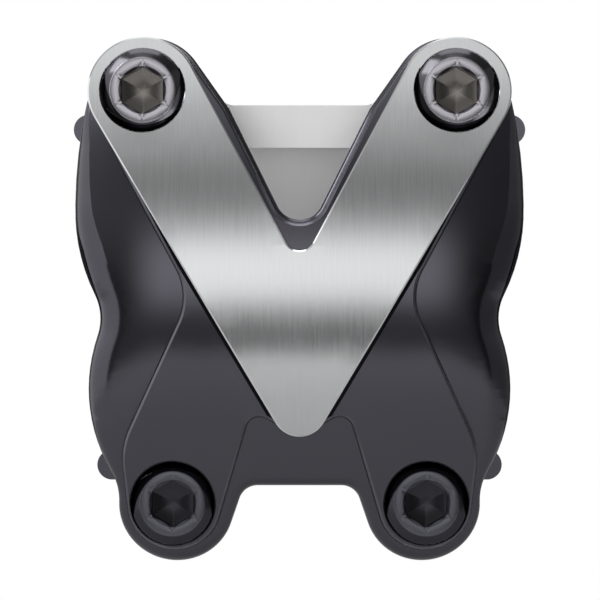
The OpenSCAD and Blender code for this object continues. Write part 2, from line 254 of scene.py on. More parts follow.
def veeOutline():
    radius, lobe = veeSizes["notchRadius"], veeSizes["lobeRadius"]
    notch = Vector((0, barRadius - veeSizes["notchDrop"]))
    slope = -edgeNormal(notch, radius, upperBolt, -lobe, -1)
    edge, bottom = polar(notch, radius, -slope), polar(notch, radius, -90)
    inner = polar(upperBolt, lobe, 180 - slope)
    side = polar(veeTip, veeSizes["tipRadius"], veeSide)
    return bothHalves(
        arc(veeTip, polar(veeTip, veeSizes["tipRadius"], -90), side, 1)
        + [side]
        + arc(upperBolt, polar(upperBolt, lobe, veeSide), inner, 1)
        + [inner]
        + arc(notch, edge, bottom, -1)
        + [bottom]
    )


def crossOutline():
    tip, pad = veeSizes["tipRadius"] - crossSizes["inset"], veeSizes["lobeRadius"]
    lobe = lowerBolt + Vector(crossSizes["lobeShift"])
    shoulder = lowerBolt + Vector(crossSizes["shoulderShift"])
    lobeSize, shoulderSize = crossSizes["lobeRadius"], crossSizes["shoulderRadius"]
    outer, inner = crossSizes["armOuter"], crossSizes["armInner"]
    sideSize, lowSize = crossSizes["sideCrotch"], crossSizes["lowCrotch"]
    # under the tip, each arm meets a level line; above, its outer side meets the line beside the vee
    level = barRadius - crossSizes["crotchRise"]
    low = cornerCentre(inner, lineAt(lobe, lobeSize, inner), -90, level, lowSize)
    tipSlope = edgeNormal(low, lowSize, veeTip, -tip, -1)
    tipSide = polar(veeTip, -tip, tipSlope)
    veeLine = lineAt(veeTip, veeSizes["tipRadius"] + crossSizes["margin"], veeSide)
    side = cornerCentre(outer, lineAt(shoulder, shoulderSize, outer), veeSide, veeLine, sideSize)
    armSide = edgeNormal(shoulder, shoulderSize, lobe, lobeSize, 1)
    upperSize = faceSizes["lobeRadius"] - crossSizes["step"]
    padMeet = touchCentre(upperBolt, pad, upperLobe, upperSize, 0, -1)
    padFlank = polar(upperLobe, upperSize, faceSizes["upperFlank"])
    lowEnd = polar(low, -lowSize, inner)
    sideEnd = polar(side, -sideSize, veeSide)
    lobeEnd = polar(lobe, lobeSize, armSide)
    shoulderEnd = polar(shoulder, shoulderSize, outer)
    return bothHalves(
        arc(veeTip, polar(veeTip, tip, -90), tipSide, 1)
        + [tipSide]
        + arc(low, polar(low, lowSize, tipSlope), lowEnd, -1)
        + [lowEnd]
        + arc(lobe, polar(lobe, lobeSize, inner), lobeEnd, 1)
        + [lobeEnd]
        + arc(shoulder, polar(shoulder, shoulderSize, armSide), shoulderEnd, 1)
        + [shoulderEnd]
        + arc(side, polar(side, -sideSize, outer), sideEnd, -1)
        + [sideEnd]
        + arc(upperBolt, polar(upperBolt, pad, veeSide), padMeet, 1)
        + arc(upperLobe, padMeet, padFlank, 1)
        + [padFlank]
        + notchRun(crossSizes["step"])
    )


# Shells: loops of points joined by walls, and caps that fill the space between loops


def split(loop, levels, longest):
    fine = []
    for a, b in zip(loop, loop[1:] + loop[:1]):
        low, high = min(a.y, b.y) + 1e-4, max(a.y, b.y) - 1e-4
        cuts = [(z - a.y) / (b.y - a.y) for z in levels if low < z < high]
        pieces = max(1, math.ceil((b - a).length / longest))
        even = [i / pieces for i in range(1, pieces)]
        even = [t for t in even if all(abs(t - cut) > 0.3 / pieces for cut in cuts)]
        fine += [a.lerp(b, t) for t in [0] + sorted(cuts + even)]
    return fine


def inset(loop, depths):
    moved = []
    for i, p in enumerate(loop):
        before = (p - loop[i - 1]).normalized()
        after = (loop[(i + 1) % len(loop)] - p).normalized()
        left, right = Vector((-before.y, before.x)), Vector((-after.y, after.x))
        moved.append(p + depths[i] * (left + right) / (1 + left.dot(right)))
    return moved


def addLoop(shell, loop, depthAt, drops=None):
    first = len(shell["points"])
    for i, p in enumerate(loop):
        shell["points"].append((p.x, depthAt(p.x, p.y) + (drops[i] if drops else 0), p.y))
    return list(range(first, first + len(loop)))


def addWall(shell, a, b, finish):
    for i in range(len(a)):
        j = (i + 1) % len(a)
        shell["faces"].append((a[i], a[j], b[j], b[i]))
        shell["finish"].append(finish)


def inside(loops, x, z):
    crossings = 0
    for loop in loops:
        for a, b in zip(loop, loop[1:] + loop[:1]):
            if (a.y > z) != (b.y > z) and x < a.x + (z - a.y) / (b.y - a.y) * (b.x - a.x):
                crossings += 1
    return crossings % 2 == 1


def addCap(shell, rings, depthAt, finish, cuts=(), grid=capSpacing):
    flat = [[Vector((shell["points"][i][0], shell["points"][i][2])) for i in ring] for ring in rings]
    points, edges, known = [], [], []
    for ring, loop in zip(rings, flat):
        start = len(points)
        points += loop
        known += ring
        edges += [(start + i, start + (i + 1) % len(loop)) for i in range(len(loop))]
    wide = max(p.x for p in flat[0]) + 1
    for run in cuts:
        edges += [(len(points) + i, len(points) + i + 1) for i in range(len(run) - 1)]
        points += run
    if grid:
        edge = [p for loop in flat + list(cuts) for p in loop]
        low, high = min(p.y for p in flat[0]), max(p.y for p in flat[0])
        for row in range(1, int((high - low) / grid) + 1):
            z = low + row * grid
            for column in range(int(2 * wide / grid)):
                p = Vector((-wide + (column + 0.5 * (row % 2)) * grid, z))
                if inside(flat, p.x, p.y) and min((p - q).length for q in edge) > 0.5 * grid:
                    points.append(p)
    coords, _, triangles, origins, _, _ = delaunay_2d_cdt(points, edges, [], 0, 1e-6)
    index = {}

    def place(i):
        if i not in index:
            mine = [o for o in origins[i] if o < len(known)]
            if mine:
                index[i] = known[mine[0]]
            else:
                p = coords[i]
                shell["points"].append((p.x, depthAt(p.x, p.y), p.y))
                index[i] = len(shell["points"]) - 1
        return index[i]

    for t in triangles:
        middle = (coords[t[0]] + coords[t[1]] + coords[t[2]]) / 3
        if inside(flat, middle.x, middle.y):
            shell["faces"].append(tuple(place(i) for i in t))
            shell["finish"].append(finish(middle) if callable(finish) else finish)


def finishMesh(shell, name, materials, sharpAngle=28):
    mesh = bpy.data.meshes.new(name)
    mesh.from_pydata([Vector(p) * mm for p in shell["points"]], [], shell["faces"])
    for material in materials:
        mesh.materials.append(material)
    mesh.polygons.foreach_set("material_index", shell["finish"])
    return smoothMesh(mesh, name, sharpAngle)


def smoothMesh(mesh, name, sharpAngle=28):
    work = bmesh.new()
    work.from_mesh(mesh)
    bmesh.ops.remove_doubles(work, verts=work.verts, dist=1e-7)
    bmesh.ops.recalc_face_normals(work, faces=work.faces)
    for face in work.faces:
        face.smooth = True
    for edge in work.edges:
        edge.smooth = len(edge.link_faces) == 2 and edge.calc_face_angle(0) < math.radians(sharpAngle)
    loose = [edge for edge in work.edges if len(edge.link_faces) != 2]
    print(name, len(work.faces), "faces,", len(loose), "open edges")
    work.to_mesh(mesh)
    work.free()
    piece = bpy.data.objects.new(name, mesh)
    bpy.context.scene.collection.objects.link(piece)
    weigh = piece.modifiers.new("flat faces first", "WEIGHTED_NORMAL")
    weigh.keep_sharp = True
    return piece


# The layers of the faceplate, each cut from a round bar that lies along the handlebar

frontMost = -boxOf("faceplate")[0].y
layerCentre = faceSizes["radius"] - frontMost


def bow(radius):
    return lambda x, z: layerCentre - math.sqrt(radius * radius - z * z)


def blend(low, high, value):
    t = min(max((value - low) / (high - low), 0), 1)
    return t * t * (3 - 2 * t)


def between(table, value):
    # the table holds pairs in rising order, and the ends carry on level
    for (a, low), (b, high) in zip(table, table[1:]):
        if value < b:
            return low + (high - low) * min(max((value - a) / (b - a), 0), 1)
    return table[-1][1]


def edgeLoops(shell, loop, depthAt, sizes, steps, slopes=None):
    # sizes holds how far the edge is broken at each point of the loop; one step makes a flat chamfer
    # slopes holds the angle, in degrees, at which the rounding meets the front
    ends = [math.radians(slope) for slope in slopes or [0] * len(loop)]
    radii = [size / (1 - math.sin(end)) for size, end in zip(sizes, ends)]
    rings = []
    for k in range(steps + 1):
        turns = [math.pi / 2 + (end - math.pi / 2) * k / steps for end in ends]
        ring = inset(loop, [radius * (1 - math.sin(a)) for radius, a in zip(radii, turns)])
        drops = [r * (math.cos(end) - math.cos(a)) for r, end, a in zip(radii, ends, turns)]
        rings.append(addLoop(shell, ring, depthAt, drops))
    return rings


def thinPlate(name, outline, backRadius, thickness, sizes, holes, materials, finish=0, cuts=()):
    shell = {"points": [], "faces": [], "finish": []}
    front, back = bow(backRadius + thickness), bow(backRadius)
    frontRings, backRings = [], []
    loops = [split(outline, [], edgeSpacing)]
    loops += [circle(centre, faceSizes["pocketRadius"]) for centre in holes]
    for n, loop in enumerate(loops):
        # the first loop is the outside, the others are the bolts' holes
        size = sizes["bevel"] if n == 0 else sizes["holeBevel"]
        top = inset(loop, [sizes["draft"]] * len(loop)) if n == 0 else loop
        rings = edgeLoops(shell, top, front, [size] * len(loop), 1)
        foot = addLoop(shell, loop, back)
        addWall(shell, foot, rings[0], 2)
        addWall(shell, rings[0], rings[1], 1)
        frontRings.append(rings[1])
        backRings.append(foot)
    addCap(shell, frontRings, front, finish, cuts)
    addCap(shell, backRings, back, 2)
    return finishMesh(shell, name, materials)


# how far the edge is rounded at each height, on the wings and elsewhere, and its slope at the front
wingEdge = [(-19, 1.0), (-16, 1.8), (-12, 2.6), (4.8, 2.5), (8.7, 1.9), (15.7, 1.15), (19.6, 0.35)]
flankEdge = [(-17, 1.0), (-14, 0.45), (18, 0.4)]
wingSlope = [(0, 0), (12, 32), (17, 32), (20, 10)]


def facePlate(name, materials):
    shell = {"points": [], "faces": [], "finish": []}

    def front(x, z):
        # the wings lean back a little towards the sides
        out = max(abs(x) - faceSizes["leanFrom"], 0) * blend(*faceSizes["leanRise"], z)
        lean = faceSizes["leanRadius"] - math.sqrt(faceSizes["leanRadius"] ** 2 - out * out)
        return bow(faceSizes["radius"])(x, z) + lean

    parting = barY - faceSizes["partingGap"] / 2
    rim = math.sqrt(barRadius**2 - (faceSizes["partingGap"] / 2) ** 2)
    steps = faceSizes["bowSteps"]
    levels = [rim * math.sin(math.pi / 2 * i / steps) for i in range(-steps, steps + 1)]

    def back(x, z):
        return barY - math.sqrt(barRadius**2 - z * z) if abs(z) < rim - 1e-6 else parting

    outline = split(faceOutline(), levels, edgeSpacing)
    # the wings' sides are broadly rounded, and the upper ones meet the front in a clear line
    wide = [between(wingEdge, p.y) * blend(*faceSizes["wingStart"], abs(p.x)) for p in outline]
    sizes = [max(size, between(flankEdge, p.y)) for size, p in zip(wide, outline)]
    slopes = [between(wingSlope, p.y) * blend(*faceSizes["slopeStart"], abs(p.x)) for p in outline]
    rings = edgeLoops(shell, outline, front, sizes, faceSizes["edgeSteps"], slopes)
    foot = addLoop(shell, outline, back)
    addWall(shell, foot, rings[0], 0)
    for a, b in zip(rings, rings[1:]):
        addWall(shell, a, b, 0)
    frontRings, backRings = [rings[-1]], [foot]
    for node in ("upper_left", "upper_right", "lower_left", "lower_right"):
        place = boltAt[node + "_bolt"]
        centre = Vector((place.x, place.z))
        seat = boxOf(node + "_washer")[1].y
        pocket, hole = circle(centre, faceSizes["pocketRadius"]), circle(centre, faceSizes["holeRadius"])
        mouth = edgeLoops(shell, pocket, front, [faceSizes["pocketEdge"]] * len(pocket), 1)
        floor = addLoop(shell, pocket, lambda x, z: seat)
        lip = addLoop(shell, hole, lambda x, z: seat)
        end = addLoop(shell, hole, back)
        for a, b in ((mouth[1], mouth[0]), (mouth[0], floor), (floor, lip), (lip, end)):
            addWall(shell, a, b, 0 if a is mouth[1] else 1)
        frontRings.append(mouth[1])
        backRings.append(end)
    addCap(shell, frontRings, front, 0, grid=faceSizes["frontSpacing"])
    far = faceSizes["cutReach"]
    addCap(shell, backRings, back, 1, [(Vector((-far, z)), Vector((far, z))) for z in levels], None)
    return finishMesh(shell, name, materials, faceSizes["sharp"])


# Bolts and washers, turned about their own axis, with the seat of the head at height 0

boltSizes = {
    "corners": 96,  # points round the bolt
    "chamfer": 0.9,
    "edgeRound": 0.12,
    "knurlDepth": 0.1,
    "knurlStart": 0.5,
    "keyWidth": 4.2,
    "keyDepth": 2.6,
    "keyLead": 0.06,  # small cone that leads the key in
    "drillDrop": 0.9,  # cone at the bottom of the key
    "keyRim": 0.02,  # beyond the key's corners, at its mouth
    "knurlRunIn": 0.1,
    "knurlEnd": 0.25,  # below the chamfer
    "headHeight": 5,
    "neck": 1.2,
    "shankRadius": 2.5,
    "threadPitch": 0.8,
    "rootRadius": 2.08,
    "tipRadius": 1.9,
    "sharp": 30,
}
# clear keeps the washer's face off the head's
washerSizes = {"outer": 4.1, "inner": 2.65, "edge": 0.12, "clear": 0.02}


def lathe(rings, matrix):
    # rings holds each ring's radius, its height, and the finish of the wall up to it
    shell = {"points": [], "faces": [], "finish": [], "spot": []}
    loops = []
    for radiusAt, height, finish in rings:
        first = len(shell["points"])
        for i in range(boltSizes["corners"]):
            angle = 360 * i / boltSizes["corners"]
            radius = radiusAt(angle, i) if callable(radiusAt) else radiusAt
            p = Vector((*polar(Vector((0, 0)), radius, angle), height))
            shell["points"].append(matrix @ p)
            shell["spot"].append((radius, height, angle / 360))
        loops.append((list(range(first, first + boltSizes["corners"])), finish))
    for (low, _), (high, finish) in zip(loops, loops[1:]):
        addWall(shell, low, high, finish)
    return shell


def keyRadius(angle, i):
    # a hexagon with one of its flats at angle 0
    return boltSizes["keyWidth"] / 2 / math.cos(math.radians((angle + 30) % 60 - 30))


def closedPiece(shell, name, materials):
    mesh = bpy.data.meshes.new(name)
    mesh.from_pydata(shell["points"], [], shell["faces"])
    for material in materials:
        mesh.materials.append(material)
    mesh.polygons.foreach_set("material_index", shell["finish"])
    spot = mesh.attributes.new("turned", "FLOAT_VECTOR", "POINT")
    spot.data.foreach_set("vector", [value for s in shell["spot"] for value in s])
    mesh.transform(Matrix.Scale(mm, 4))
    return mesh


def addNode(tree, kind, inputs=None, **settings):
    node = tree.nodes.new(kind)
    for name, value in settings.items():
        setattr(node, name, value)
    for socket, value in (inputs or {}).items():
        if isinstance(value, bpy.types.NodeSocket):
            tree.links.new(value, node.inputs[socket])
        else:
            node.inputs[socket].default_value = value
    return node


def threadSizes(length):
    return {
        "Length": length, "Pitch": boltSizes["threadPitch"], "Crest Radius": boltSizes["shankRadius"],
        "Root Radius": boltSizes["rootRadius"], "Tip Radius": boltSizes["tipRadius"],
    }


def threadTree():
    tree = bpy.data.node_groups.new("screw thread", "GeometryNodeTree")
    for name, value in threadSizes(16).items():
        tree.interface.new_socket(name, in_out="INPUT", socket_type="NodeSocketFloat").default_value = value
    tree.interface.new_socket("Material", in_out="INPUT", socket_type="NodeSocketMaterial")
    tree.interface.new_socket("Geometry", in_out="OUTPUT", socket_type="NodeSocketGeometry")
    given = addNode(tree, "NodeGroupInput").outputs
    columns, rows = 33, 182
    flatShare = 0.06  # of a pitch, at the root and at the crest
    # a flat sheet is rolled up: across is the angle, along is the length
    size = {"Size X": 1, "Size Y": 1, "Vertices X": columns, "Vertices Y": rows}
    sheet = addNode(tree, "GeometryNodeMeshGrid", size)
    position = addNode(tree, "GeometryNodeInputPosition").outputs[0]
    flat = addNode(tree, "ShaderNodeSeparateXYZ", {0: position})
    across = addNode(tree, "ShaderNodeMath", {0: flat.outputs[0], 1: 0.5}, operation="ADD").outputs[0]
    last = rows - 1
    row = addNode(
        tree, "ShaderNodeMath", {0: flat.outputs[1], 1: last, 2: last / 2}, operation="MULTIPLY_ADD"
    ).outputs[0]
    # the first and the last row close the two ends
    share = addNode(
        tree, "ShaderNodeMapRange", {"Value": row, "From Min": 1, "From Max": last - 1}, clamp=True
    ).outputs[0]
    fromTip = addNode(
        tree, "ShaderNodeMath", {0: share, 1: given["Length"]}, operation="MULTIPLY"
    ).outputs[0]
    turns = addNode(tree, "ShaderNodeMath", {0: fromTip, 1: given["Pitch"]}, operation="DIVIDE").outputs[0]
    phase = addNode(tree, "ShaderNodeMath", {0: turns, 1: across}, operation="SUBTRACT").outputs[0]
    wave = addNode(tree, "ShaderNodeMath", {0: phase}, operation="FRACT").outputs[0]
    tooth = addNode(tree, "ShaderNodeMath", {0: wave, 1: 0.5}, operation="PINGPONG").outputs[0]
    radius = addNode(
        tree,
        "ShaderNodeMapRange",
        {"Value": tooth, "From Min": flatShare, "From Max": 0.5 - flatShare,
         "To Min": given["Root Radius"], "To Max": given["Crest Radius"]},
        clamp=True,
    ).outputs[0]
    cone = addNode(
        tree, "ShaderNodeMath", {0: fromTip, 1: given["Tip Radius"]}, operation="ADD"
    ).outputs[0]
    radius = addNode(tree, "ShaderNodeMath", {0: radius, 1: cone}, operation="MINIMUM").outputs[0]
    above = addNode(tree, "ShaderNodeMath", {0: row, 1: 0.5}, operation="GREATER_THAN").outputs[0]
    below = addNode(tree, "ShaderNodeMath", {0: row, 1: last - 0.5}, operation="LESS_THAN").outputs[0]
    notEnd = addNode(tree, "ShaderNodeMath", {0: above, 1: below}, operation="MULTIPLY").outputs[0]
    radius = addNode(tree, "ShaderNodeMath", {0: radius, 1: notEnd}, operation="MULTIPLY").outputs[0]
    angle = addNode(tree, "ShaderNodeMath", {0: across, 1: math.tau}, operation="MULTIPLY").outputs[0]
    cosine = addNode(tree, "ShaderNodeMath", {0: angle}, operation="COSINE").outputs[0]
    sine = addNode(tree, "ShaderNodeMath", {0: angle}, operation="SINE").outputs[0]
    x = addNode(tree, "ShaderNodeMath", {0: cosine, 1: radius}, operation="MULTIPLY").outputs[0]
    y = addNode(tree, "ShaderNodeMath", {0: sine, 1: radius}, operation="MULTIPLY").outputs[0]
    rolled = addNode(tree, "ShaderNodeCombineXYZ", {0: x, 1: y, 2: fromTip}).outputs[0]
    thread = addNode(tree, "GeometryNodeSetPosition", {"Geometry": sheet.outputs[0], "Position": rolled})
    welded = addNode(
        tree, "GeometryNodeMergeByDistance", {"Geometry": thread.outputs[0], "Distance": 0.001}
    )
    real = addNode(tree, "GeometryNodeRealizeInstances", {0: welded.outputs[0]})
    covered = addNode(
        tree, "GeometryNodeSetMaterial", {"Geometry": real.outputs[0], "Material": given["Material"]}
    )
    addNode(tree, "NodeGroupOutput", {0: covered.outputs[0]})
    return tree


def threadMesh(tree, sizes, material):
    holder = bpy.data.objects.new("thread", bpy.data.meshes.new("thread"))
    bpy.context.scene.collection.objects.link(holder)
    maker = holder.modifiers.new("thread", "NODES")
    maker.node_group = tree
    for item in tree.interface.items_tree:
        if item.in_out == "INPUT":
            maker[item.identifier] = material if item.name == "Material" else sizes[item.name]
    holder.data.update()
    ready = holder.evaluated_get(bpy.context.evaluated_depsgraph_get())
    mesh = bpy.data.meshes.new_from_object(ready)
    bpy.data.objects.remove(holder)
    return mesh


# Materials

def linear(colour):
    channels = [int(colour[i : i + 2], 16) / 255 for i in (1, 3, 5)]
    return [ch / 12.92 if ch <= 0.04045 else ((ch + 0.055) / 1.055) ** 2.4 for ch in channels] + [1]


def perMillimetre(size):
    return 1000 / size  # pattern scale for features of that many millimetres


def metal(name, roughness):
    material = bpy.data.materials.new(name)
    material.use_nodes = True
    tree = material.node_tree
    shader = tree.nodes["Principled BSDF"]
    shader.inputs["Metallic"].default_value = 1
    shader.inputs["Roughness"].default_value = roughness
    return material, tree, shader


def grain(tree, shader, pattern, colours, roughness, depth):
    # the same pattern drives a slight change of colour, of roughness and of height
    first, second = linear(colours[0]), linear(colours[1])
    tint = addNode(tree, "ShaderNodeMix", {"Factor": pattern, 6: first, 7: second}, data_type="RGBA")
    tree.links.new(tint.outputs[2], shader.inputs["Base Color"])
    rough = addNode(
        tree, "ShaderNodeMapRange", {"Value": pattern, "To Min": roughness[0], "To Max": roughness[1]}
    )
    tree.links.new(rough.outputs[0], shader.inputs["Roughness"])
    bump = addNode(
        tree, "ShaderNodeBump", {"Height": pattern, "Strength": depth, "Distance": 0.02 * mm}
    )
    tree.links.new(bump.outputs[0], shader.inputs["Normal"])


def blasted(name, colours, roughness, depth, size=0.16):
    # bead-blasted before anodising: a fine even grain that spreads the light softly
    material, tree, shader = metal(name, roughness[0])
    place = addNode(tree, "ShaderNodeTexCoord").outputs["Object"]
    fine = addNode(
        tree, "ShaderNodeTexNoise", {"Vector": place, "Scale": perMillimetre(size), "Detail": 3.0}
    ).outputs[0]
    cloud = addNode(
        tree, "ShaderNodeTexNoise", {"Vector": place, "Scale": perMillimetre(9), "Detail": 2.0}
    ).outputs[0]
    both = addNode(tree, "ShaderNodeMix", {"Factor": 0.35, 2: fine, 3: cloud}).outputs[0]
    grain(tree, shader, both, colours, roughness, depth)
    return material


def stroked(name, colours, roughness, depth, sizes):
    # brushed or milled: fine lines, whose sizes along x, y and z are given in millimetres
    material, tree, shader = metal(name, roughness[0])
    place = addNode(tree, "ShaderNodeTexCoord").outputs["Object"]
    drawn = addNode(
        tree, "ShaderNodeMapping", {"Vector": place, "Scale": [perMillimetre(size) for size in sizes]}
    ).outputs[0]
    lines = addNode(tree, "ShaderNodeTexNoise", {"Vector": drawn, "Scale": 1, "Detail": 4.0}).outputs[0]
    cloud = addNode(
        tree, "ShaderNodeTexNoise", {"Vector": place, "Scale": perMillimetre(7), "Detail": 2.0}
    ).outputs[0]
    both = addNode(tree, "ShaderNodeMix", {"Factor": 0.2, 2: lines, 3: cloud}).outputs[0]
    grain(tree, shader, both, colours, roughness, depth)
    return material


def turnedMetal(name, colours, roughness, depth, feed):
    # turned on a lathe: fine rings round the piece's own axis, one feed apart, with a little scatter
    material, tree, shader = metal(name, roughness[0])
    spot = addNode(tree, "ShaderNodeAttribute", attribute_name="turned").outputs["Vector"]
    scale = (1 / feed, 1 / feed, 0.4)
    rings = addNode(tree, "ShaderNodeMapping", {"Vector": spot, "Scale": scale}).outputs[0]
    lines = addNode(tree, "ShaderNodeTexNoise", {"Vector": rings, "Scale": 1, "Detail": 2.0}).outputs[0]
    place = addNode(tree, "ShaderNodeTexCoord").outputs["Object"]
    specks = addNode(
        tree, "ShaderNodeTexNoise", {"Vector": place, "Scale": perMillimetre(0.3), "Detail": 2.0}
    ).outputs[0]
    both = addNode(tree, "ShaderNodeMix", {"Factor": 0.3, 2: lines, 3: specks}).outputs[0]
    grain(tree, shader, both, colours, roughness, depth)
    return material


# black anodised aluminium, bead-blasted: a dark dyed skin that spreads the light into a soft grey sheen
blackAnodised = blasted("black anodised aluminium, blasted", ("#504f56", "#5a5960"), (0.16, 0.22), 0.10)
# the same skin over a milled bevel, painted lighter than the face so its thin line shows: a painted
# highlight
blackBevelPaintedHighlight = blasted(
    "black anodised aluminium, bevel with painted highlight", ("#5f5e66", "#6b6a72"), (0.24, 0.32), 0.05
)
# a very dark copy of the same skin on the strip just outside the vee: painted shade along the vee's edge
blackSeamPaintedShade = blasted("black anodised aluminium, painted seam shade", ("#141417", "#1b1b1f"), (0.40, 0.50), 0.05)
# the same skin over a bored or turned inside
blackBore = stroked(
    "black anodised aluminium, bored", ("#252429", "#333238"), (0.32, 0.44), 0.12, (0.12, 4, 4)
)
# bare aluminium, brushed lengthwise: pale grey with fine upright streaks
brushedAluminium = stroked(
    "bare aluminium, brushed", ("#b9babb", "#d0d1d2"), (0.15, 0.23), 0.10, (0.12, 3, 4)
)
# bare aluminium, bevel cut by a polished mill: a narrow bright line
polishedBevel = stroked(
    "bare aluminium, diamond-milled bevel", ("#d8d9db", "#e6e7e9"), (0.10, 0.16), 0.03, (0.2, 0.2, 0.2)
)
# bare aluminium, bored dry after anodising: matt and pale, with fine rings
boredAluminium = stroked(
    "bare aluminium, bored", ("#efeff0", "#f8f8f8"), (0.75, 0.85), 0.15, (0.14, 5, 5)
)
# a dry bore is so matt that most of it scatters like paint
boredAluminium.node_tree.nodes["Principled BSDF"].inputs["Metallic"].default_value = 0.1
# zinc-nickel plated steel: turned rings under a bright coat
platedSteel = turnedMetal("plated steel, turned", ("#a8a6ac", "#bebcc2"), (0.22, 0.30), 0.06, 0.07)
# its bevel is polished, and painted much darker than the head: a painted dark reflection
platedBevelPaintedDark = turnedMetal(
    "plated steel, polished bevel painted dark", ("#4b4a4e", "#5a595e"), (0.14, 0.20), 0.02, 0.1
)
# its key is broached, with upright tool marks, and painted darker and browner than the head: painted shade
# inside the socket
platedKeyPaintedShade = turnedMetal("plated steel, broached key, painted shade", ("#7b7874", "#8f8b86"), (0.24, 0.34), 0.06, 0.12)
# black-oxided steel: thin blue-black skin that stays fairly smooth
blackSteel = turnedMetal("black-oxided steel, turned", ("#5a5a61", "#66666e"), (0.24, 0.34), 0.06, 0.07)
# the black bolts' bevel is painted darker than the head too, as a dark reflection
blackSteelBevelPaintedDark = turnedMetal(
    "black-oxided steel, bevel painted dark", ("#3a3a40", "#45454c"), (0.16, 0.24), 0.03, 0.1
)
# the black bolts' key is painted darker than the head too, as shade inside the socket
blackSteelKeyPaintedShade = turnedMetal(
    "black-oxided steel, broached key, painted shade", ("#37373b", "#434348"), (0.24, 0.34), 0.06, 0.12
)
print("materials ready")


# The pieces

def standsFor(piece, node, body):
    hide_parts(node)
    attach(piece, body)
    return piece


def bothSides(place):
    return [place, Vector((-place.x, place.y))]


allBolts = bothSides(upperBolt) + bothSides(lowerBolt)
face = facePlate("facePlate", [blackAnodised, blackBore])
standsFor(face, "faceplate", "front")


def besideVee(side, out):
    # a line along the vee's outer edge, that far outside it, in short pieces that follow the bow
    start = polar(veeTip, veeSizes["tipRadius"] + out, veeSide)
    end = polar(upperBolt, veeSizes["lobeRadius"] + out, veeSide)
    pieces = crossSizes["seamPieces"]
    run = [start.lerp(end, i / pieces) for i in range(pieces + 1)]
    return [Vector((side * p.x, p.y)) for p in run]


# faces in the strip just outside the vee's edge take finish 3, the painted shade
def seamShadeFinish(p):
    veeLine = lineAt(veeTip, veeSizes["tipRadius"], veeSide)
    out = lineAt(Vector((abs(p.x), p.y)), 0, veeSide) - veeLine
    return 3 if 0 < out < crossSizes["seam"] else 0


# the lines that bound the strip of painted shade beside the vee
seamShadeLines = [besideVee(side, out) for side in (-1, 1) for out in (0, crossSizes["seam"])]
# the cross plate's bevel takes the lighter skin, a painted highlight
cross = thinPlate(
    "crossPlate", crossOutline(), faceSizes["radius"] + seatGap, crossSizes["thickness"] - seatGap,
    crossSizes, allBolts, [blackAnodised, blackBevelPaintedHighlight, blackAnodised, blackSeamPaintedShade], seamShadeFinish, seamShadeLines,
)
standsFor(cross, "cross_plate", "front")
vee = thinPlate(
    "veePlate", veeOutline(), faceSizes["radius"] + crossSizes["thickness"] + seatGap,
    veeSizes["thickness"] - seatGap, veeSizes, bothSides(upperBolt),
    [brushedAluminium, polishedBevel, brushedAluminium],
)
standsFor(vee, "vee_plate", "front")
print("faceplate layers made")


bodySizes = {
    "sharp": 32,  # an edge that turns by more degrees stays sharp
    "bareHalf": 9,  # half the width of the bare strip above the bore
    "flatWithin": 0.01,  # how close a point is to the parting face
    "roundWithin": 0.06,  # and to a bore
}


def stemBody():
    mesh = frame["nodes"]["stem_body"].data.copy()
    mesh.materials.clear()
    for material in (blackAnodised, boredAluminium, blackBore):
        mesh.materials.append(material)
    work = bmesh.new()
    work.from_mesh(mesh)
    bmesh.ops.remove_doubles(work, verts=work.verts, dist=2e-6)
    bmesh.ops.dissolve_limit(work, angle_limit=math.radians(0.6), verts=work.verts, edges=work.edges)
    rear = barY + faceSizes["partingGap"] / 2
    close, near, bareHalf = (bodySizes[key] for key in ("flatWithin", "roundWithin", "bareHalf"))
    # the bare metal of the bore carries on over the middle of the upper parting face
    for side in (-1, 1):
        plane = [part for part in work.faces if all(abs(v.co.y / mm - rear) < close for v in part.verts)]
        bmesh.ops.bisect_plane(
            work, geom=plane + list({edge for part in plane for edge in part.edges}),
            plane_co=(side * bareHalf * mm, 0, 0), plane_no=(1, 0, 0),
        )
    steerer = mountOf("steerer_clamp")["dims"]["r_mm"]
    for part in work.faces:
        spots = [vert.co / mm for vert in part.verts]
        onBar = all(abs(math.hypot(p.y - barY, p.z) - barRadius) < near for p in spots)
        onParting = all(abs(p.y - rear) < close for p in spots)
        onSteerer = all(abs(math.hypot(p.x, p.y) - steerer) < near for p in spots)
        bare = onParting and all(abs(p.x) < bareHalf + close and p.z > 0 for p in spots)
        part.material_index = 1 if onBar or bare else 2 if onSteerer else 0
    for edge in work.edges:
        edge.smooth = edge.calc_face_angle(0) <= math.radians(bodySizes["sharp"])
    work.to_mesh(mesh)
    work.free()
    piece = bpy.data.objects.new("stemBody", mesh)
    bpy.context.scene.collection.objects.link(piece)
    for polygon in mesh.polygons:
        polygon.use_smooth = True
    weigh = piece.modifiers.new("flat faces first", "WEIGHTED_NORMAL")
    weigh.keep_sharp = True
    return piece


standsFor(stemBody(), "stem_body", "stem")
print("stem body made")

threads = threadTree()


